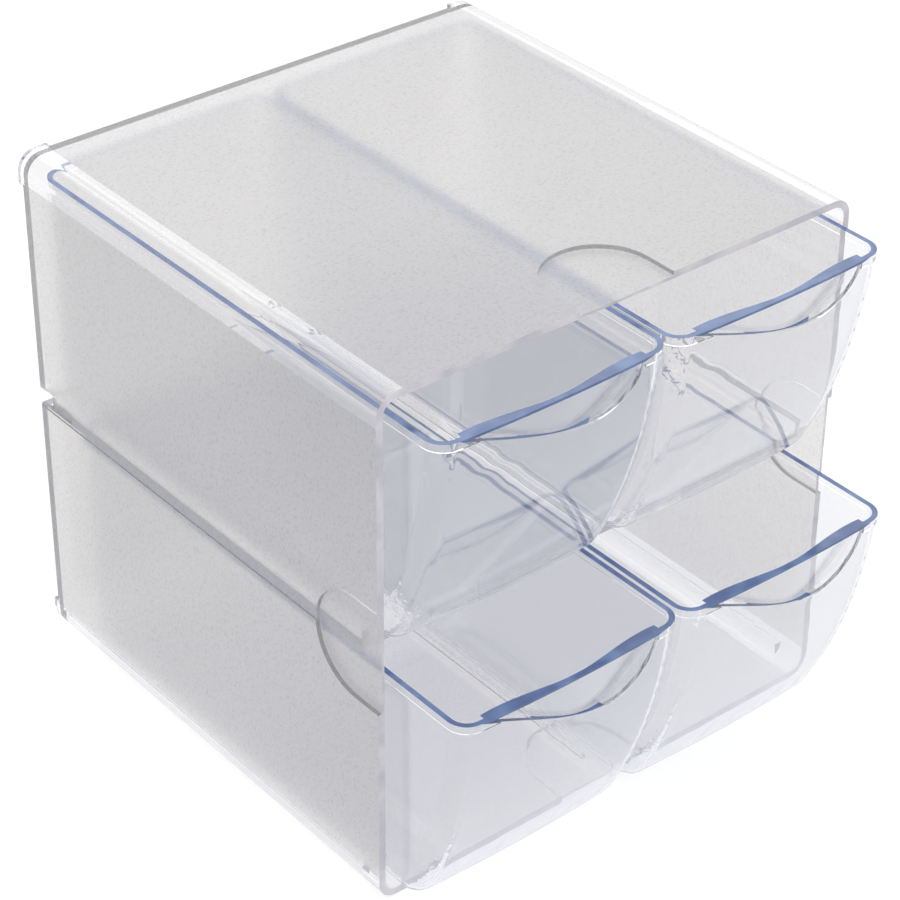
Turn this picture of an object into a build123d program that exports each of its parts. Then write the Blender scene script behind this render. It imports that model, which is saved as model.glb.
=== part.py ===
"""Craft drawer cube: a clear moulded cube with four identical pull-out drawers, two above two.

Frame: +Z up, front of the cube towards -Y, origin at the centre of the cube's bottom face.
All sizes are in millimetres. The drawers stand where the photograph shows them: the upper
pair pushed home, the lower pair standing a little further out.
"""
import os
from math import radians, tan

from build123d import *

# ---------------------------------------------------------------- cube
CUBE_WIDTH = 152.4
CUBE_DEPTH = 148.4
CUBE_HEIGHT = 151.8
SIDE_WALL = 2.0
TOP_WALL = 2.0
FLOOR_WALL = 2.1
REAR_WALL = 2.0
EDGE_RADIUS = 5.6          # the four long edges of the cube, outside
REAR_EDGE_RADIUS = 0.8     # the rim of the rear face
SHELF_WALL = 2.0
SHELF_BOTTOM = 75.2        # height of the shelf's underside
SHELF_SETBACK = 8.0        # the shelf starts this far behind the cube's front
SHELF_FILLET = 1.2         # where the shelf meets the side walls

# finger cut-outs: shallow U-shaped recesses that run back from the front edge
CUTOUT_WIDTH = 30.4
CUTOUT_LENGTH = 24.6
CUTOUT_DEPTH = 1.2

# clip groove along each side, and the deeper clip slot at its rear end
GROOVE_HEIGHT = 6.0
GROOVE_DEPTH = 0.5
GROOVE_LEVEL = 78.3        # height of the middle of the groove
SLOT_HEIGHT = 4.8
SLOT_LENGTH = 14.5
SLOT_DEPTH = 1.3
NOTCH_LENGTH = 4.4         # the slot's open rear end, cut right through the corner
NOTCH_REACH = 4.0

# L-shaped feet on the four rear corners
FOOT_REACH = 9.0
FOOT_WIDTH = 2.0
FOOT_HEIGHT = 1.5

# guides on the floor and the shelf that keep the drawers in line
RAIL_HEIGHT = 4.0
RAIL_WIDTH = 2.0
RIB_HEIGHT = 2.4
RIB_WIDTH = 1.2

# ---------------------------------------------------------------- drawer
DRAWER_WIDTH = 71.4        # over the rim
DRAWER_LENGTH = 164.2      # over the rim, from the middle of its front to its rear
DRAWER_HEIGHT = 67.8
DRAWER_WALL = 1.2
DRAWER_DRAFT = 0.25        # degrees by which the side and rear walls lean out towards the rim
RIM_HEIGHT = 2.3           # the band round the top that stands out from the walls
RIM_STEP = 0.3
CORNER_RADIUS = 6.0        # upright corners, outside
BOTTOM_RADIUS = 4.5        # where the walls meet the bottom, outside
FRONT_BOW = 1.2            # the front bows forward by this much across its width
FRONT_LEAN = 20.3          # how far the front's foot lies behind its rim
FRONT_SWELL = 3.9          # how far the front swells out of the straight line from rim to foot
CENTRE_GAP = 1.0           # between the rims of neighbouring drawers
SEAT_GAP = 0.3             # under each drawer
REAR_GAP = 0.4             # behind a drawer that is pushed home
LOWER_PULL = 9.6           # the lower drawers stand this much further out

# finger grip: a swoosh-shaped pocket in the front, under the rim; along the pocket its back
# waves in, out and in again, and the wall behind it waves with it
GRIP_LIP = 0.7             # height of the rim above the pocket
GRIP_START = 7.5           # where the pocket starts, from the drawer's left side
GRIP_WAIST = 36.5          # where the pocket is shallowest
GRIP_LOWEST = 49.0         # where the pocket reaches lowest
GRIP_END = 62.5            # where the pocket ends
UPPER_GRIP_DROP = 11.7     # the pocket's lowest point below the rim, on the upper drawers
LOWER_GRIP_DROP = 15.8     # and on the lower drawers, which have a deeper one
GRIP_SLOPE = 20.0          # degrees by which the ledge falls at its start
GRIP_DEPTH = 1.7
GRIP_WAIST_DEPTH = 0.3
GRIP_PANE = 1.1            # wall left behind the pocket
GRIP_TILT = 9.0            # degrees by which the pocket's back leans in towards its foot

# ---------------------------------------------------------------- worked-out places
FRONT_Y = -CUBE_DEPTH / 2
REAR_Y = CUBE_DEPTH / 2
SHELF_TOP = SHELF_BOTTOM + SHELF_WALL
CAVITY_WIDTH = CUBE_WIDTH - 2 * SIDE_WALL
CAVITY_DEPTH = CUBE_DEPTH - REAR_WALL
CAVITY_RADIUS = EDGE_RADIUS - SIDE_WALL
HOME_Y = REAR_Y - REAR_WALL - REAR_GAP - DRAWER_LENGTH   # rim's front, drawer pushed home
DRAWER_X = (DRAWER_WIDTH + CENTRE_GAP) / 2
BOW_RADIUS = (DRAWER_WIDTH / 2) ** 2 / (2 * FRONT_BOW) + FRONT_BOW / 2
REACH = 12.0               # cutting tools run this far past what they cut
OVERLAP = 0.2              # joined features sink this far into their wall
LEAST_RADIUS = 0.4


# ---------------------------------------------------------------- cube shell
def storey(bottom, top, rounded_at_top):
    """The clear space of one storey, from the cube's front to its rear wall."""
    with BuildPart() as space:
        with BuildSketch(Plane.XZ.offset(-FRONT_Y)) as opening:
            with Locations((0, (bottom + top) / 2)):
                Rectangle(CAVITY_WIDTH, top - bottom)
            rows = opening.vertices().group_by(Axis.Y)
            outer_row = rows[-1] if rounded_at_top else rows[0]
            shelf_row = rows[0] if rounded_at_top else rows[-1]
            fillet(outer_row, CAVITY_RADIUS)
            fillet(shelf_row, SHELF_FILLET)
        extrude(amount=-CAVITY_DEPTH)
    return space.part


def guides(level):
    """A rail along each side wall and a low rib in the middle, standing on one floor."""
    length = CAVITY_DEPTH - SHELF_SETBACK
    rail_x = (CAVITY_WIDTH - RAIL_WIDTH) / 2
    middle_y = REAR_Y - REAR_WALL - length / 2
    with BuildPart() as strips:
        with BuildSketch(Plane.XY.offset(level - OVERLAP)):
            with Locations((-rail_x, middle_y), (rail_x, middle_y)):
                Rectangle(RAIL_WIDTH + 2 * OVERLAP, length)
        extrude(amount=RAIL_HEIGHT + OVERLAP)
        with BuildSketch(Plane.XY.offset(level - OVERLAP)):
            with Locations((0, middle_y)):
                Rectangle(RIB_WIDTH, length)
        extrude(amount=RIB_HEIGHT + OVERLAP)
    return strips.part


with BuildSketch() as cutout:
    half_width = CUTOUT_WIDTH / 2
    straight = CUTOUT_LENGTH - half_width
    with BuildLine():
        Polyline(
            (half_width, straight), (half_width, -REACH), (-half_width, -REACH), (-half_width, straight)
        )
        ThreePointArc((-half_width, straight), (0, CUTOUT_LENGTH), (half_width, straight))
    make_face()


def side_marks(side):
    """What is cut out of one side wall: finger cut-out, clip groove, clip slot and notch."""
    wall_face = Plane((side * CUBE_WIDTH / 2, 0, 0), x_dir=(0, 1, 0), z_dir=(1, 0, 0))
    groove_length = CUBE_DEPTH - CUTOUT_LENGTH + OVERLAP
    with BuildPart() as marks:
        with BuildSketch(wall_face):
            with Locations(Location((FRONT_Y, CUBE_HEIGHT / 2, 0), (0, 0, -90))):
                add(cutout.sketch)
        extrude(amount=CUTOUT_DEPTH, both=True)
        for length, height, depth in (
            (groove_length, GROOVE_HEIGHT, GROOVE_DEPTH),
            (SLOT_LENGTH, SLOT_HEIGHT, SLOT_DEPTH),
            (NOTCH_LENGTH, SLOT_HEIGHT, NOTCH_REACH),
        ):
            with BuildSketch(wall_face):
                with Locations((REAR_Y, GROOVE_LEVEL)):
                    Rectangle(2 * length, height)
            extrude(amount=depth, both=True)
    return marks.part


with BuildPart() as cube_shell:
    with BuildSketch(Plane.XZ.offset(-FRONT_Y)):
        with Locations((0, CUBE_HEIGHT / 2)):
            RectangleRounded(CUBE_WIDTH, CUBE_HEIGHT, EDGE_RADIUS)
    extrude(amount=-CUBE_DEPTH)
    fillet(cube_shell.faces().sort_by(Axis.Y)[-1].edges(), REAR_EDGE_RADIUS)

    # L-shaped feet: the rear face's border, kept at its four corners only
    with BuildSketch(Plane.XZ.offset(REAR_EDGE_RADIUS - REAR_Y)):
        with Locations((0, CUBE_HEIGHT / 2)):
            with GridLocations(CUBE_WIDTH, CUBE_HEIGHT, 2, 2):
                Rectangle(2 * FOOT_REACH, 2 * FOOT_REACH)
            RectangleRounded(CUBE_WIDTH, CUBE_HEIGHT, EDGE_RADIUS, mode=Mode.INTERSECT)
            RectangleRounded(
                CUBE_WIDTH - 2 * FOOT_WIDTH,
                CUBE_HEIGHT - 2 * FOOT_WIDTH,
                EDGE_RADIUS - FOOT_WIDTH,
                mode=Mode.SUBTRACT,
            )
    extrude(amount=-(FOOT_HEIGHT + REAR_EDGE_RADIUS))

    # the two storeys, and the space in front of the shelf that joins them
    add(storey(FLOOR_WALL, SHELF_BOTTOM, rounded_at_top=False), mode=Mode.SUBTRACT)
    add(storey(SHELF_TOP, CUBE_HEIGHT - TOP_WALL, rounded_at_top=True), mode=Mode.SUBTRACT)
    with BuildSketch(Plane.XZ.offset(-FRONT_Y)):
        with Locations((0, SHELF_BOTTOM + SHELF_WALL / 2)):
            Rectangle(CAVITY_WIDTH, SHELF_WALL + 2 * SHELF_FILLET)
    extrude(amount=-SHELF_SETBACK, mode=Mode.SUBTRACT)
    add(guides(FLOOR_WALL))
    add(guides(SHELF_TOP))

    # finger cut-outs in the top and the bottom, and all that is cut out of the sides
    for face_plane in (Plane.XY.offset(CUBE_HEIGHT), Plane.XY):
        with BuildSketch(face_plane):
            with Locations((0, FRONT_Y)):
                add(cutout.sketch)
        extrude(amount=CUTOUT_DEPTH, both=True, mode=Mode.SUBTRACT)
    add(side_marks(-1), mode=Mode.SUBTRACT)
    add(side_marks(1), mode=Mode.SUBTRACT)


# ---------------------------------------------------------------- drawer
def drawer_form(inset):
    """The drawer's filled-in form below its rim, drawn in by inset on every side but the top.

    Its own frame: X across, Y back from the middle of the rim's front, Z up from the bottom.
    """
    rise = DRAWER_HEIGHT - inset
    slack = rise * tan(radians(DRAWER_DRAFT))
    half_width = DRAWER_WIDTH / 2 - RIM_STEP - inset
    rear = DRAWER_LENGTH - RIM_STEP - inset
    half_chord = Vector(FRONT_LEAN, -DRAWER_HEIGHT) / 2
    swell = Vector(-DRAWER_HEIGHT, -FRONT_LEAN).normalized() * FRONT_SWELL
    brow = Vector(RIM_STEP, DRAWER_HEIGHT)
    with BuildPart() as form:
        # the drafted sides, then the drafted rear
        with BuildSketch(Plane.XZ.offset(REACH)):
            with BuildLine():
                Polyline(
                    (slack - half_width, inset),
                    (half_width - slack, inset),
                    (half_width, DRAWER_HEIGHT),
                    (-half_width, DRAWER_HEIGHT),
                    close=True,
                )
            make_face()
        extrude(amount=-(DRAWER_LENGTH + 2 * REACH))
        with BuildSketch(Plane.YZ):
            with BuildLine():
                Polyline(
                    (-REACH, inset),
                    (rear - slack, inset),
                    (rear, DRAWER_HEIGHT),
                    (-REACH, DRAWER_HEIGHT),
                    close=True,
                )
            make_face()
        extrude(amount=DRAWER_WIDTH, both=True, mode=Mode.INTERSECT)
        # the front: its swelling profile, turned about a far upright axis to bow it
        with BuildSketch(Plane.YZ):
            with BuildLine():
                ThreePointArc(brow, brow + half_chord + swell, brow + half_chord * 2)
                Polyline(
                    brow + half_chord * 2,
                    (DRAWER_LENGTH + REACH, 0),
                    (DRAWER_LENGTH + REACH, DRAWER_HEIGHT + REACH),
                    (brow.X, DRAWER_HEIGHT + REACH),
                    brow,
                )
            make_face()
            if inset:
                offset(amount=-inset, kind=Kind.INTERSECTION, mode=Mode.REPLACE)
        revolve(axis=Axis((0, BOW_RADIUS, 0), (0, 0, 1)), mode=Mode.INTERSECT)
        uprights = form.edges().filter_by(lambda edge: edge.bounding_box().size.Z > rise / 2)
        fillet(uprights, max(CORNER_RADIUS - RIM_STEP - inset, LEAST_RADIUS))
        foot_edges = form.faces().sort_by(Axis.Z)[0].edges()
        fillet(foot_edges, max(BOTTOM_RADIUS - inset, LEAST_RADIUS))
    return form.part


def grip_prism(drop, grow):
    """The finger grip's outline, larger by grow all round, run through the front wall."""
    left = -DRAWER_WIDTH / 2
    ledge_top = DRAWER_HEIGHT - GRIP_LIP + grow
    start = Vector(left + GRIP_START - grow, ledge_top)
    lowest = Vector(left + GRIP_LOWEST, DRAWER_HEIGHT - drop - grow)
    end = Vector(left + GRIP_END + grow, ledge_top)
    third = (lowest.X - start.X) / 3
    fall = Vector(third, -third * tan(radians(GRIP_SLOPE)))
    level = Vector(third, 0)
    turn = Vector((end.X - lowest.X) / 2, 0)
    climb = Vector(0, (end.Y - lowest.Y) / 2)
    with BuildPart() as prism:
        with BuildSketch(Plane.XZ.offset(REACH)):
            with BuildLine():
                Bezier(start, start + fall, lowest - level, lowest)
                Bezier(lowest, lowest + turn, end - climb, end)
                Line(end, start)
            make_face()
        extrude(amount=-2 * REACH)
    return prism.part


def grip_back(depth):
    """All that lies in front of the pocket's waving back, or of a surface depth behind it."""
    left = -DRAWER_WIDTH / 2
    wave = [
        (left, 0),
        ((GRIP_START + GRIP_WAIST) / 2 + left, GRIP_DEPTH),
        (GRIP_WAIST + left, GRIP_WAIST_DEPTH),
        ((GRIP_WAIST + GRIP_END) / 2 + left, GRIP_DEPTH),
        (-left, 0),
    ]
    curve = [(x, recess + depth + x * x / (2 * BOW_RADIUS)) for x, recess in wave]
    with BuildPart() as back:
        with BuildSketch(Plane.XY.offset(DRAWER_HEIGHT)):
            with BuildLine():
                Spline(*curve)
                Polyline(curve[-1], (-left, -REACH), (left, -REACH), curve[0])
            make_face()
        extrude(amount=LOWER_GRIP_DROP + REACH, dir=(0, tan(radians(GRIP_TILT)), -1))
    return back.part


def drawer_moulding(grip_drop):
    """One drawer, with the lowest point of its finger grip grip_drop below the rim."""
    housing = grip_prism(grip_drop, GRIP_PANE) & grip_back(GRIP_PANE) & drawer_form(0)
    pocket = grip_prism(grip_drop, 0) & grip_back(0)
    with BuildPart() as moulding:
        add(drawer_form(0))
        with BuildSketch(Plane.XY.offset(DRAWER_HEIGHT)) as rim:
            with Locations((0, DRAWER_LENGTH / 2)):
                Rectangle(DRAWER_WIDTH, DRAWER_LENGTH)
            with Locations((0, BOW_RADIUS)):
                Circle(BOW_RADIUS, mode=Mode.INTERSECT)
            fillet(rim.vertices(), CORNER_RADIUS)
        extrude(amount=-RIM_HEIGHT)
        add(drawer_form(DRAWER_WALL), mode=Mode.SUBTRACT)
        add(housing)
        add(pocket, mode=Mode.SUBTRACT)
    return moulding.part


# ---------------------------------------------------------------- parts
upper_drawer = drawer_moulding(UPPER_GRIP_DROP)
lower_drawer = drawer_moulding(LOWER_GRIP_DROP)
upper_level = SHELF_TOP + SEAT_GAP
lower_level = FLOOR_WALL + SEAT_GAP
pulled_y = HOME_Y - LOWER_PULL

os.makedirs("parts", exist_ok=True)
cube_shell.part.label = "cube_shell"
export_step(cube_shell.part, "parts/cube_shell.step")
for name, moulding, place in (
    ("drawer_upper_left", upper_drawer, (-DRAWER_X, HOME_Y, upper_level)),
    ("drawer_upper_right", upper_drawer, (DRAWER_X, HOME_Y, upper_level)),
    ("drawer_lower_left", lower_drawer, (-DRAWER_X, pulled_y, lower_level)),
    ("drawer_lower_right", lower_drawer, (DRAWER_X, pulled_y, lower_level)),
):
    with BuildPart() as drawer:
        with Locations(place):
            add(moulding)
    drawer.part.label = name
    export_step(drawer.part, f"parts/{name}.step")
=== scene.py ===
"""Looks of the craft drawer cube: a frosted clear shell and four polished clear drawers.

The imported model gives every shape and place. This file dresses it: each moulding is shown by a
welded, smoothly shaded piece in its plastic, and stands in a pale studio seen as photographed.
Lengths are in metres, in the model's own frame: +Z up, the drawers' fronts towards -Y.
"""
import logging
from dataclasses import dataclass, field
from enum import Enum
from math import cos, radians, sin

import bpy
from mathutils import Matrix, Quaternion, Vector


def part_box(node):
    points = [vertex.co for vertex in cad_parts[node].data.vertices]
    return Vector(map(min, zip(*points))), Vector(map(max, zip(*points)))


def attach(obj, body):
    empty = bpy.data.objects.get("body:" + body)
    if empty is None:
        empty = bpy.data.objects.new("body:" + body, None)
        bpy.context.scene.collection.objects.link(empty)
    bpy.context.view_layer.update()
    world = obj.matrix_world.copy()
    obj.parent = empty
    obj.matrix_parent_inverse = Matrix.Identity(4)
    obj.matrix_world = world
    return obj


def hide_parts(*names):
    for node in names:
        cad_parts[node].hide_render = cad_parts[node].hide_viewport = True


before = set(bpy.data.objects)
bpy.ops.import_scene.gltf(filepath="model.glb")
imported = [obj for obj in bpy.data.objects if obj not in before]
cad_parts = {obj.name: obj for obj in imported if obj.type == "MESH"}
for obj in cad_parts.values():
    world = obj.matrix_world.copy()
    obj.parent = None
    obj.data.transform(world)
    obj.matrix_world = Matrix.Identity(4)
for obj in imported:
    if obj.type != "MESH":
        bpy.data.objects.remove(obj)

logging.basicConfig(level=logging.INFO, format="%(message)s")
log = logging.getLogger("drawer_cube")

Colour = tuple[float, float, float]
Groups = dict[str, bpy.types.NodeTree]
MM = 0.001

# Light that has met more faces than DEEP_RAY is caught in the walls, and shows as a soft grey.
DEEP_RAY = 10.5
CAUGHT_LIGHT = (0.68, 0.69, 0.74)

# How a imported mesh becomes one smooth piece. Angles are in degrees.
WELD_REACH = 0.002 * MM
SAME_PLANE = 0.05              # faces that differ by less than this become one
SHARP_FROM = 52                # edges that turn by more than this stay sharp
FLAT_AREA = 125 * MM * MM      # a face larger than this is a true flat and keeps its own normal
FLATS_WEIGHT = 50

# The noise values between which a feature of the surface comes in.
WEAR_BAND = (0.45, 0.75)
PIT_BAND = (0.48, 0.72)
# the streak band places the painted highlight streaks on the glowing end faces
PAINTED_STREAK_BAND = (0.35, 0.75)


class Row(Enum):
    """The two storeys of the cube."""

    UPPER = "upper"
    LOWER = "lower"


class Side(Enum):
    """The two columns of drawers, seen from the front."""

    LEFT = "left"
    RIGHT = "right"


# How far each storey's finger grips reach below the rim.
GRIP_DROP = {Row.UPPER: 11.7 * MM, Row.LOWER: 15.8 * MM}


# ------------------------------------------------------------------ node helpers
class NodeBench:
    """Adds and joins nodes in one node tree."""

    def __init__(self, tree: bpy.types.NodeTree) -> None:
        """Keeps the tree.

        Args:
            tree: a material's, world's or group's node tree.
        """
        self.tree = tree

    def add(self, kind: str, **settings: object) -> bpy.types.Node:
        """Adds one node.

        Args:
            kind: the node's class name.
            settings: the node's own properties.

        Returns:
            The new node.
        """
        node = self.tree.nodes.new(kind)
        for key, value in settings.items():
            setattr(node, key, value)
        return node

    def feed(self, socket: bpy.types.NodeSocket, value: object) -> None:
        """Joins a socket to another, or writes a plain value on it.

        Args:
            socket: the input socket.
            value: an output socket, a number, a vector or a colour.
        """
        if isinstance(value, bpy.types.NodeSocket):
            self.tree.links.new(value, socket)
        elif isinstance(value, (tuple, list)) and socket.type == "RGBA":
            socket.default_value = (*value[:3], 1.0)
        else:
            socket.default_value = value

    def fed(self, kind: str, values: dict[str | int, object], **settings: object) -> bpy.types.Node:
        """Adds one node and feeds its inputs.

        Args:
            kind: the node's class name.
            values: what each input gets, by the input's name or number.
            settings: the node's own properties.

        Returns:
            The new node.
        """
        node = self.add(kind, **settings)
        for key, value in values.items():
            self.feed(node.inputs[key], value)
        return node

    def math(self, operation: str, *values: object) -> bpy.types.NodeSocket:
        """Adds a Math node.

        Args:
            operation: the Math node's operation.
            values: numbers or sockets for its inputs.

        Returns:
            Its result.
        """
        node = self.fed("ShaderNodeMath", dict(enumerate(values)), operation=operation)
        return node.outputs[0]

    def ramp(self, value: object, low: float, high: float) -> bpy.types.NodeSocket:
        """A smooth step from 0 at low to 1 at high.

        Args:
            value: the socket that is compared.
            low: where the result leaves 0.
            high: where the result reaches 1.

        Returns:
            The step.
        """
        limits = {"Value": value, "From Min": low, "From Max": high}
        node = self.fed("ShaderNodeMapRange", limits, interpolation_type="SMOOTHSTEP")
        return node.outputs["Result"]

    def span(self, share: object, low: float, high: float) -> bpy.types.NodeSocket:
        """A value between two others.

        Args:
            share: 0 for the low one, 1 for the high one.
            low: the value at 0.
            high: the value at 1.

        Returns:
            The value.
        """
        node = self.fed("ShaderNodeMapRange", {"Value": share, "To Min": low, "To Max": high})
        return node.outputs["Result"]

    def mix(self, factor: object, first: object, second: object) -> bpy.types.NodeSocket:
        """Blends two colours.

        Args:
            factor: 0 for the first, 1 for the second.
            first: a colour or socket.
            second: a colour or socket.

        Returns:
            The blended colour.
        """
        node = self.fed(
            "ShaderNodeMix", {"Factor": factor, 6: first, 7: second}, data_type="RGBA"
        )
        return node.outputs[2]

    def either_shader(self, factor: object, first: object, second: object) -> bpy.types.NodeSocket:
        """Mixes two shaders.

        Args:
            factor: 0 for the first, 1 for the second.
            first: a shader's output.
            second: a shader's output.

        Returns:
            The mixed shader.
        """
        node = self.fed("ShaderNodeMixShader", {"Fac": factor, 1: first, 2: second})
        return node.outputs[0]

    def noise(self, position: object, scale: object, detail: float,
              roughness: float = 0.5) -> bpy.types.NodeSocket:
        """Adds a noise.

        Args:
            position: where it is read.
            scale: how fine it is.
            detail: how many finer layers it has.
            roughness: how strong the finer layers are.

        Returns:
            Its value, from 0 to 1.
        """
        values = {"Vector": position, "Scale": scale, "Detail": detail, "Roughness": roughness}
        return self.fed("ShaderNodeTexNoise", values).outputs["Fac"]

    def bump(self, height: object, distance: float) -> bpy.types.NodeSocket:
        """Turns a height into a normal.

        Args:
            height: the height, from 0 to 1.
            distance: what 1 stands for, in metres.

        Returns:
            The normal.
        """
        values = {"Strength": 1.0, "Distance": distance, "Height": height}
        return self.fed("ShaderNodeBump", values).outputs["Normal"]

    def seen(self) -> bpy.types.NodeSocket:
        """Whether a surface is looked at, straight, mirrored or through clear plastic.

        Returns:
            1 for a ray that looks, 0 for one that gathers light.
        """
        path = self.add("ShaderNodeLightPath")
        by_way = self.math(
            "MAXIMUM", path.outputs["Is Glossy Ray"], path.outputs["Is Transmission Ray"]
        )
        return self.math("MAXIMUM", path.outputs["Is Camera Ray"], by_way)


def new_material(name: str) -> tuple[bpy.types.Material, NodeBench]:
    """Starts a material with no nodes.

    Args:
        name: the material's name.

    Returns:
        The material and its bench.
    """
    made = bpy.data.materials.new(name)
    made.use_nodes = True
    made.node_tree.nodes.clear()
    return made, NodeBench(made.node_tree)


def new_group(
    name: str, takes: dict[str, str], gives: list[str]
) -> tuple[NodeBench, dict[str, bpy.types.NodeSocket], bpy.types.Node]:
    """Starts a shader node group that gives plain values.

    Args:
        name: the group's name.
        takes: its inputs, name to socket type.
        gives: the names of its outputs.

    Returns:
        The bench, the inputs inside the group by name, and the group's output node.
    """
    tree = bpy.data.node_groups.new(name, "ShaderNodeTree")
    for socket_name, kind in takes.items():
        tree.interface.new_socket(socket_name, in_out="INPUT", socket_type=kind)
    for socket_name in gives:
        tree.interface.new_socket(socket_name, in_out="OUTPUT", socket_type="NodeSocketFloat")
    bench = NodeBench(tree)
    entry = bench.add("NodeGroupInput")
    leave = bench.add("NodeGroupOutput")
    return bench, {key: entry.outputs[key] for key in takes}, leave


def moulded_surface_group() -> bpy.types.NodeTree:
    """The faint unevenness of injection-moulded plastic: slow ripples and fine handling marks.

    Returns:
        A group that gives a Height for a bump and a Wear value for roughness.
    """
    takes = {
        "Position": "NodeSocketVector",
        "Ripple Scale": "NodeSocketFloat",
        "Mark Scale": "NodeSocketFloat",
    }
    bench, given, leave = new_group("moulded_surface", takes, ["Height", "Wear"])
    ripple = bench.noise(given["Position"], given["Ripple Scale"], detail=1.0)
    marks = bench.noise(given["Position"], given["Mark Scale"], detail=4.0)
    bench.feed(leave.inputs["Height"], ripple)
    bench.feed(leave.inputs["Wear"], bench.ramp(marks, *WEAR_BAND))
    return bench.tree


def frost_grain_group() -> bpy.types.NodeTree:
    """The fine grain that the mould leaves on the frosted panels.

    Returns:
        A group that gives a Height for a bump, a Cloud value for slow changes of colour and a
        Pits value for the grain's darker spots.
    """
    takes = {
        "Position": "NodeSocketVector",
        "Grain Scale": "NodeSocketFloat",
        "Cloud Scale": "NodeSocketFloat",
    }
    bench, given, leave = new_group("frost_grain", takes, ["Height", "Cloud", "Pits"])
    grain = bench.noise(given["Position"], given["Grain Scale"], detail=2.0, roughness=0.6)
    cloud = bench.noise(given["Position"], given["Cloud Scale"], detail=3.0)
    bench.feed(leave.inputs["Height"], grain)
    bench.feed(leave.inputs["Cloud"], cloud)
    bench.feed(leave.inputs["Pits"], bench.ramp(grain, *PIT_BAND))
    return bench.tree


def outer_panel_group() -> bpy.types.NodeTree:
    """Where the cube's frosted panels are: its outer skin, inside the clear borders.

    The skin is deep enough to hold the floors of the finger cut-outs and of the clip groove.

    Returns:
        A group that gives a Mask, 1 on a panel and 0 on the borders and the inner faces.
    """
    takes = {"Position": "NodeSocketVector"}
    for size in ("Half Width", "Half Depth", "Height", "Border", "Skin"):
        takes[size] = "NodeSocketFloat"
    bench, given, leave = new_group("outer_panel", takes, ["Mask"])
    split = bench.fed("ShaderNodeSeparateXYZ", {0: given["Position"]})
    across = bench.math("ABSOLUTE", split.outputs["X"])
    half_height = bench.math("MULTIPLY", given["Height"], 0.5)
    upright = bench.math("ABSOLUTE", bench.math("SUBTRACT", split.outputs["Z"], half_height))
    # on the outer skin of the sides, of the top and bottom, or of the rear
    inner_x = bench.math("SUBTRACT", given["Half Width"], given["Skin"])
    inner_z = bench.math("SUBTRACT", half_height, given["Skin"])
    inner_y = bench.math("SUBTRACT", given["Half Depth"], given["Skin"])
    on_side = bench.math("GREATER_THAN", across, inner_x)
    on_level = bench.math("GREATER_THAN", upright, inner_z)
    on_rear = bench.math("GREATER_THAN", split.outputs["Y"], inner_y)
    # inside the clear borders along the long edges
    panel_x = bench.math("SUBTRACT", given["Half Width"], given["Border"])
    panel_z = bench.math("SUBTRACT", half_height, given["Border"])
    within_x = bench.math("LESS_THAN", across, panel_x)
    within_z = bench.math("LESS_THAN", upright, panel_z)
    side_panel = bench.math("MULTIPLY", on_side, within_z)
    level_panel = bench.math("MULTIPLY", on_level, within_x)
    rear_panel = bench.math("MULTIPLY", on_rear, bench.math("MULTIPLY", within_x, within_z))
    either = bench.math("MAXIMUM", side_panel, level_panel)
    bench.feed(leave.inputs["Mask"], bench.math("MAXIMUM", either, rear_panel))
    return bench.tree


# ------------------------------------------------------------------ finishes
@dataclass(frozen=True)
class ClearPlastic:
    """Polished clear plastic, faintly blue where it is seen edge on."""

    name: str = "crystal_clear_plastic"
    tint: Colour = (0.986, 0.985, 0.985)
    grazing_tint: Colour = (0.69, 0.71, 0.76)
    grazing_blend: float = 0.35
    ior: float = 1.5
    roughness: float = 0.0
    worn_roughness: float = 0.03
    kept_by_depth: Colour = (0.0, 0.03, 0.09)
    depth_density: float = 9.0
    lamp_tint: Colour = (0.95, 0.96, 0.985)
    ripple_scale: float = 28.0
    ripple_height: float = 0.008 * MM
    mark_scale: float = 260.0

    def material(self, groups: Groups) -> bpy.types.Material:
        """Builds the material.

        Args:
            groups: the shared node groups by name.

        Returns:
            The new material.
        """
        made, bench = new_material(self.name)
        place = bench.add("ShaderNodeTexCoord")
        marks = {
            "Position": place.outputs["Object"],
            "Ripple Scale": self.ripple_scale,
            "Mark Scale": self.mark_scale,
        }
        surface = bench.fed("ShaderNodeGroup", marks, node_tree=groups["moulded_surface"])
        graze = bench.fed("ShaderNodeLayerWeight", {"Blend": self.grazing_blend})
        colour = bench.mix(graze.outputs["Facing"], self.tint, self.grazing_tint)
        wear = bench.span(surface.outputs["Wear"], self.roughness, self.worn_roughness)
        plastic = bench.fed("ShaderNodeBsdfPrincipled", {
            "IOR": self.ior,
            "Transmission Weight": 1.0,
            "Base Color": colour,
            "Roughness": wear,
            "Normal": bench.bump(surface.outputs["Height"], self.ripple_height),
        })
        finish_glass(bench, plastic, self.lamp_tint, self.kept_by_depth, self.depth_density)
        return made


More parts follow.
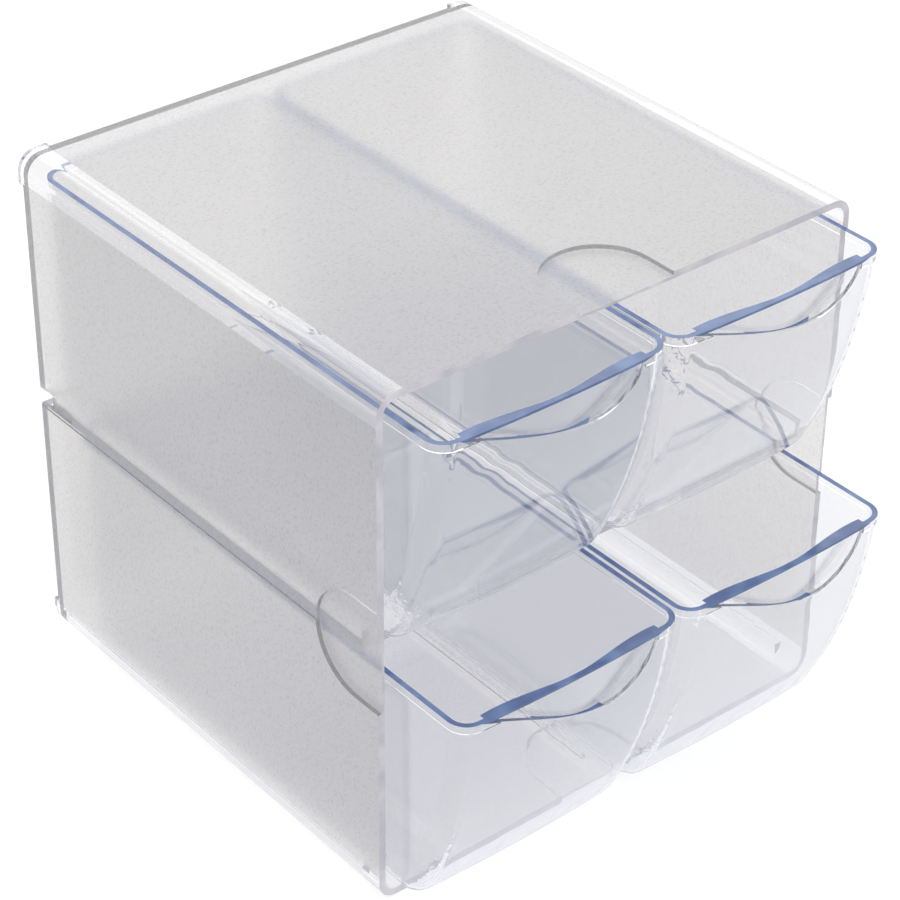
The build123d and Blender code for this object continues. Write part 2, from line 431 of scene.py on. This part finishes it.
@dataclass(frozen=True)
class FrostedPlastic:
    """The cube's plastic: polished clear edges and inner faces, finely frosted outer panels."""

    name: str = "frosted_clear_plastic"
    clear_tint: Colour = (0.965, 0.96, 0.957)
    frosted_tint: Colour = (0.835, 0.815, 0.80)
    clouded_tint: Colour = (0.80, 0.785, 0.77)
    pitted_tint: Colour = (0.56, 0.55, 0.545)
    pit_share: float = 0.8
    ior: float = 1.5
    frost_roughness: float = 0.34
    border: float = 8.0 * MM
    skin: float = 1.4 * MM
    grain_scale: float = 1250.0
    grain_height: float = 0.06 * MM
    cloud_scale: float = 18.0
    kept_by_depth: Colour = (0.0, 0.02, 0.06)
    depth_density: float = 9.0
    lamp_tint: Colour = (0.88, 0.88, 0.90)

    def material(self, groups: Groups, low: Vector, high: Vector) -> bpy.types.Material:
        """Builds the material for a cube of a given size.

        Args:
            groups: the shared node groups by name.
            low: the cube's lowest corner, on its front.
            high: its highest corner.

        Returns:
            The new material.
        """
        made, bench = new_material(self.name)
        position = bench.add("ShaderNodeTexCoord").outputs["Object"]
        sizes = {
            "Position": position,
            "Half Width": high.x,
            "Half Depth": -low.y,
            "Height": high.z,
            "Border": self.border,
            "Skin": self.skin,
        }
        panel = bench.fed("ShaderNodeGroup", sizes, node_tree=groups["outer_panel"])
        mask = panel.outputs["Mask"]
        scales = {
            "Position": position,
            "Grain Scale": self.grain_scale,
            "Cloud Scale": self.cloud_scale,
        }
        grain = bench.fed("ShaderNodeGroup", scales, node_tree=groups["frost_grain"])
        smooth = bench.mix(grain.outputs["Cloud"], self.frosted_tint, self.clouded_tint)
        pits = bench.math("MULTIPLY", grain.outputs["Pits"], self.pit_share)
        frosted = bench.mix(pits, smooth, self.pitted_tint)
        height = bench.math("MULTIPLY", grain.outputs["Height"], mask)
        plastic = bench.fed("ShaderNodeBsdfPrincipled", {
            "IOR": self.ior,
            "Transmission Weight": 1.0,
            "Base Color": bench.mix(mask, self.clear_tint, frosted),
            "Roughness": bench.math("MULTIPLY", mask, self.frost_roughness),
            "Normal": bench.bump(height, self.grain_height),
        })
        finish_glass(bench, plastic, self.lamp_tint, self.kept_by_depth, self.depth_density)
        return made


@dataclass(frozen=True)
class PaintedEdgeGlow:
    """A polished end face of the plastic, with a painted glow for the light caught in the wall."""

    name: str
    # colour is the painted glow, and pale is the paler painted highlight of its streaks
    colour: Colour
    pale: Colour
    roughness: float = 0.16
    coat: float = 0.3
    coat_roughness: float = 0.05
    highlight_streak_scale: float = 140.0

    def material(self, groups: Groups) -> bpy.types.Material:
        """Builds the material.

        Args:
            groups: the shared node groups by name.

        Returns:
            The new material.
        """
        made, bench = new_material(self.name)
        place = bench.add("ShaderNodeTexCoord")
        marks = {
            "Position": place.outputs["Object"],
            "Ripple Scale": self.highlight_streak_scale,
            "Mark Scale": self.highlight_streak_scale * 3,
        }
        surface = bench.fed("ShaderNodeGroup", marks, node_tree=groups["moulded_surface"])
        # paler painted highlight streaks across the painted glow
        painted_streaks = bench.ramp(surface.outputs["Height"], *PAINTED_STREAK_BAND)
        plastic = bench.fed("ShaderNodeBsdfPrincipled", {
            "Base Color": bench.mix(painted_streaks, self.colour, self.pale),
            "Roughness": self.roughness,
            "Coat Weight": self.coat,
            "Coat Roughness": self.coat_roughness,
        })
        bench.fed("ShaderNodeOutputMaterial", {"Surface": plastic.outputs[0]})
        return made


def finish_glass(
    bench: NodeBench, plastic: bpy.types.Node, lamp_tint: Colour, kept: Colour, density: float
) -> None:
    """Lets the lamps shine through a clear material, and tints it by its depth.

    Args:
        bench: the material's bench.
        plastic: its Principled node.
        lamp_tint: what a lamp's light keeps at each face.
        kept: the colour that the plastic's depth keeps.
        density: how strongly the depth takes the rest.
    """
    path = bench.add("ShaderNodeLightPath")
    caught = bench.fed("ShaderNodeEmission", {"Color": CAUGHT_LIGHT})
    deep = bench.math("GREATER_THAN", path.outputs["Ray Depth"], DEEP_RAY)
    seen = bench.either_shader(deep, plastic.outputs[0], caught.outputs[0])
    open_way = bench.fed("ShaderNodeBsdfTransparent", {"Color": lamp_tint})
    both = bench.either_shader(path.outputs["Is Shadow Ray"], seen, open_way.outputs[0])
    depth = bench.fed("ShaderNodeVolumeAbsorption", {"Color": kept, "Density": density})
    bench.fed("ShaderNodeOutputMaterial", {"Surface": both, "Volume": depth.outputs[0]})


# ------------------------------------------------------------------ pieces
def welded_copy(node_name: str, piece_name: str) -> bpy.types.Object:
    """Copies a moulding's mesh as one welded, smoothly shaded piece.

    Args:
        node_name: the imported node.
        piece_name: the new piece's name.

    Returns:
        The new piece, at the origin.
    """
    bpy.ops.object.select_all(action="DESELECT")
    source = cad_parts[node_name]
    piece = bpy.data.objects.new(piece_name, source.data.copy())
    bpy.context.scene.collection.objects.link(piece)
    piece.data.materials.clear()
    bpy.context.view_layer.objects.active = piece
    piece.select_set(True)
    bpy.ops.mesh.customdata_custom_splitnormals_clear()
    bpy.ops.object.mode_set(mode="EDIT")
    bpy.ops.mesh.select_mode(type="FACE")
    bpy.ops.mesh.select_all(action="SELECT")
    bpy.ops.mesh.remove_doubles(threshold=WELD_REACH)
    bpy.ops.mesh.dissolve_limited(angle_limit=radians(SAME_PLANE))
    # the large flats keep their normals, and the blends between them bend to meet those
    bpy.ops.mesh.select_all(action="SELECT")
    bpy.ops.mesh.mod_weighted_strength(set=True, face_strength="WEAK")
    bpy.ops.mesh.select_all(action="DESELECT")
    bpy.ops.object.mode_set(mode="OBJECT")
    for face in piece.data.polygons:
        face.select = face.area > FLAT_AREA
    bpy.ops.object.mode_set(mode="EDIT")
    bpy.ops.mesh.mod_weighted_strength(set=True, face_strength="STRONG")
    bpy.ops.object.mode_set(mode="OBJECT")
    bpy.ops.object.shade_smooth_by_angle(angle=radians(SHARP_FROM))
    flats_first = piece.modifiers.new("flats_first", "WEIGHTED_NORMAL")
    flats_first.mode = "FACE_AREA"
    flats_first.weight = FLATS_WEIGHT
    flats_first.use_face_influence = True
    flats_first.keep_sharp = True
    bpy.ops.object.modifier_apply(modifier=flats_first.name)
    bpy.ops.object.select_all(action="DESELECT")
    return piece


@dataclass
class CubeShell:
    """The frosted cube that holds the drawers."""

    node: str = "cube_shell"
    body: str = "cube"
    front_band: float = 0.02 * MM
    forward: float = -0.99         # a front face's normal has less than this along Y

    def build(self, frosted: FrostedPlastic, edge: PaintedEdgeGlow, groups: Groups) -> bpy.types.Object:
        """Makes the shell's piece and dresses it.

        Args:
            frosted: its plastic.
            edge: the painted glow of its front end faces.
            groups: the shared node groups by name.

        Returns:
            The piece.
        """
        low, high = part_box(self.node)
        piece = welded_copy(self.node, "cube_in_frosted_plastic")
        piece.data.materials.append(frosted.material(groups, low, high))
        piece.data.materials.append(edge.material(groups))
        # the front end faces take the painted glow
        for face in piece.data.polygons:
            at_front = face.normal.y < self.forward and face.center.y < low.y + self.front_band
            face.material_index = 1 if at_front else 0
        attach(piece, self.body)
        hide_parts(self.node)
        return piece


@dataclass
class Drawer:
    """One clear drawer with its finger grip, and a painted blue glow on its rim's edges."""

    row: Row
    side: Side
    rim_skin: float = 0.05 * MM
    rim_level: float = 0.98        # the rim's top faces point up by more than this
    lip_height: float = 0.75 * MM
    lip_forward: float = -0.8      # the lip's normals have less than this along Y
    grip_reach: float = 3.4 * MM
    grip_margin: float = 0.3 * MM
    ledge_rise: float = 0.3        # the ledge's faces point up by more than this
    glow_end: float = 47.0 * MM

    @property
    def node(self) -> str:
        """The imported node's name."""
        return f"drawer_{self.row.value}_{self.side.value}"

    def build(self, clear: bpy.types.Material, glow: bpy.types.Material) -> bpy.types.Object:
        """Makes the drawer's piece and dresses it.

        Args:
            clear: the drawer's plastic.
            glow: the painted blue glow of its rim, lip and ledge.

        Returns:
            The piece.
        """
        low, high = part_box(self.node)
        name = f"{self.row.value}_{self.side.value}_drawer_in_clear_plastic"
        piece = welded_copy(self.node, name)
        piece.data.materials.append(clear)
        piece.data.materials.append(glow)
        for face in piece.data.polygons:
            face.material_index = 1 if self.glows(face, low, high) else 0
        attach(piece, self.node)
        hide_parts(self.node)
        return piece

    def glows(self, face: bpy.types.MeshPolygon, low: Vector, high: Vector) -> bool:
        """Whether a face gets the painted blue glow: the rim's top, its lip and the grip's ledge.

        Args:
            face: a face of the drawer.
            low: the drawer's lowest corner.
            high: the drawer's highest corner.

        Returns:
            True for a face with the painted glow.
        """
        under_rim = high.z - face.center.z
        if face.normal.z > self.rim_level and under_rim < self.rim_skin:
            return True
        if face.center.y >= low.y + self.grip_reach:
            return False
        if face.normal.y < self.lip_forward and under_rim < self.lip_height:
            return True
        in_grip = under_rim < GRIP_DROP[self.row] + self.grip_margin
        across = face.center.x - low.x
        return in_grip and face.normal.z > self.ledge_rise and across < self.glow_end


# ------------------------------------------------------------------ studio
def viewing_offset(azimuth: float, elevation: float) -> Vector:
    """The direction from the cube towards a viewer.

    Args:
        azimuth: degrees round the cube, 0 in front of it.
        elevation: degrees above the floor.

    Returns:
        A vector of length 1.
    """
    turn, rise = radians(azimuth), radians(elevation)
    return Vector((sin(turn) * cos(rise), -cos(turn) * cos(rise), sin(rise)))


@dataclass
class Lamp:
    """One soft square lamp that points at the cube."""

    name: str
    azimuth: float
    elevation: float
    distance: float
    size: float
    power: float

    def build(self, target: Vector) -> None:
        """Adds the lamp.

        Args:
            target: the point that it faces.
        """
        data = bpy.data.lights.new(self.name, "AREA")
        data.shape = "SQUARE"
        data.size = self.size
        data.energy = self.power
        lamp = bpy.data.objects.new(self.name, data)
        bpy.context.scene.collection.objects.link(lamp)
        away = viewing_offset(self.azimuth, self.elevation) * self.distance
        lamp.location = target + away
        lamp.rotation_euler = (-away).to_track_quat("-Z", "Y").to_euler()


@dataclass
class Studio:
    """Floor, world, lamps and camera. Angles are in degrees, the lens and sensor in millimetres."""

    target: Vector = field(default_factory=lambda: Vector((0.0, -8.52, 71.73)) * MM)
    azimuth: float = -39.627
    elevation: float = 33.948
    roll: float = 0.519
    distance: float = 0.7722
    lens: float = 115.09
    sensor: float = 36.0
    nearest: float = 0.01
    floor_size: float = 6.0
    floor_level: float = -0.2 * MM
    floor_colour: Colour = (0.8, 0.8, 0.8)
    seen_floor_colour: Colour = (0.45, 0.45, 0.46)
    seen_floor_lift: float = 0.62
    world_light: float = 0.62
    bounces: int = 12
    open_bounces: int = 32
    lamps: tuple[Lamp, ...] = (
        Lamp("key_softbox", azimuth=-62.0, elevation=58.0, distance=1.5, size=1.1, power=9.0),
        Lamp("front_softbox", azimuth=25.0, elevation=35.0, distance=1.6, size=1.0, power=4.0),
        Lamp("rear_softbox", azimuth=150.0, elevation=50.0, distance=1.6, size=1.2, power=5.0),
    )

    def build(self) -> None:
        """Builds the whole studio."""
        self.build_camera()
        self.build_floor()
        self.build_world()
        for lamp in self.lamps:
            lamp.build(self.target)
        scene = bpy.context.scene
        scene.view_settings.view_transform = "Standard"
        scene.cycles.max_bounces = self.bounces
        scene.cycles.transmission_bounces = self.bounces
        scene.cycles.glossy_bounces = self.bounces
        scene.cycles.transparent_max_bounces = self.open_bounces

    def build_camera(self) -> None:
        """Adds the camera at the photograph's place and angle."""
        data = bpy.data.cameras.new("photo_camera")
        data.lens = self.lens
        data.sensor_width = self.sensor
        data.sensor_fit = "HORIZONTAL"
        data.clip_start = self.nearest
        camera = bpy.data.objects.new("photo_camera", data)
        bpy.context.scene.collection.objects.link(camera)
        away = viewing_offset(self.azimuth, self.elevation) * self.distance
        camera.location = self.target + away
        level = (-away).to_track_quat("-Z", "Y")
        camera.rotation_euler = (level @ Quaternion((0, 0, 1), radians(self.roll))).to_euler()
        bpy.context.scene.camera = camera

    def build_floor(self) -> None:
        """Adds the white floor, which keeps the cube's shadow."""
        bpy.ops.object.select_all(action="DESELECT")
        bpy.ops.mesh.primitive_plane_add(size=self.floor_size, location=(0, 0, self.floor_level))
        floor = bpy.context.object
        floor.name = "studio_floor"
        made, bench = new_material("studio_floor_paper")
        paper = bench.fed("ShaderNodeBsdfDiffuse", {"Color": self.floor_colour})
        seen_paper = bench.fed("ShaderNodeBsdfDiffuse", {"Color": self.seen_floor_colour})
        white = bench.fed("ShaderNodeEmission", {"Strength": self.seen_floor_lift})
        lifted = bench.fed("ShaderNodeAddShader", {0: seen_paper.outputs[0], 1: white.outputs[0]})
        both = bench.either_shader(bench.seen(), paper.outputs[0], lifted.outputs[0])
        bench.fed("ShaderNodeOutputMaterial", {"Surface": both})
        floor.data.materials.append(made)

    def build_world(self) -> None:
        """Adds a world that looks white and lights softly."""
        world = bpy.data.worlds.new("white_studio")
        bpy.context.scene.world = world
        world.use_nodes = True
        world.node_tree.nodes.clear()
        bench = NodeBench(world.node_tree)
        strength = bench.span(bench.seen(), self.world_light, 1.0)
        white = {"Color": (1.0, 1.0, 1.0), "Strength": strength}
        background = bench.fed("ShaderNodeBackground", white)
        bench.fed("ShaderNodeOutputWorld", {"Surface": background.outputs[0]})


def main() -> None:
    """Builds the studio and dresses the cube and its drawers."""
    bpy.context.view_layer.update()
    Studio().build()
    groups = {
        "moulded_surface": moulded_surface_group(),
        "frost_grain": frost_grain_group(),
        "outer_panel": outer_panel_group(),
    }
    # the shell's front end faces get a painted pale violet-grey glow
    shell_painted_glow = PaintedEdgeGlow("shell_front_painted_glow", (0.58, 0.56, 0.62), (0.74, 0.72, 0.76))
    shell = CubeShell().build(FrostedPlastic(), shell_painted_glow, groups)
    log.info("built %s: %d faces", shell.name, len(shell.data.polygons))
    clear = ClearPlastic().material(groups)
    # the rims, lips and ledges get a painted blue glow for light that the clear walls carry to them
    glow = PaintedEdgeGlow("blue_rim_painted_glow", (0.04, 0.09, 0.25), (0.10, 0.18, 0.38)).material(groups)
    for row in Row:
        for side in Side:
            piece = Drawer(row, side).build(clear, glow)
            log.info("built %s: %d faces", piece.name, len(piece.data.polygons))


if __name__ == "__main__":
    main()
